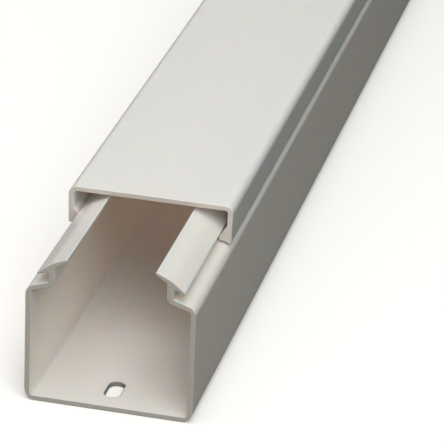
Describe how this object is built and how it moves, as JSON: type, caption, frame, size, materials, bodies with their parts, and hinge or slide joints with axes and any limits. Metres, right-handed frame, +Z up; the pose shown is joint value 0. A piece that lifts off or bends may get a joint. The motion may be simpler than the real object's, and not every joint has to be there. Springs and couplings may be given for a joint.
{
  "type": "wiring duct",
  "caption": "Square rigid PVC wiring duct: U-shaped channel with inward snap lips and slotted floor holes, and a flat clip-on cover set back along it.",
  "frame": {"origin": "middle of the channel's flat underside, half way along its length", "axes": "X across the duct, +Y along it towards the rear end that the cover overhangs, +Z up through the floor to the cover"},
  "size_m": [0.06, 2.0522, 0.0588],
  "materials": {
    "pvc_channel": "satin",
    "pvc_cover": "satin"
  },
  "bodies": {
    "channel": {"base_channel": "pvc_channel"},
    "cover": {"cover": "pvc_cover"}
  },
  "joints": [
    {"name": "cover_slide", "type": "slide", "parent": "channel", "child": "cover", "axis": [0, 1, 0], "range_m": [-1.0522, 0.9478]}
  ]
}
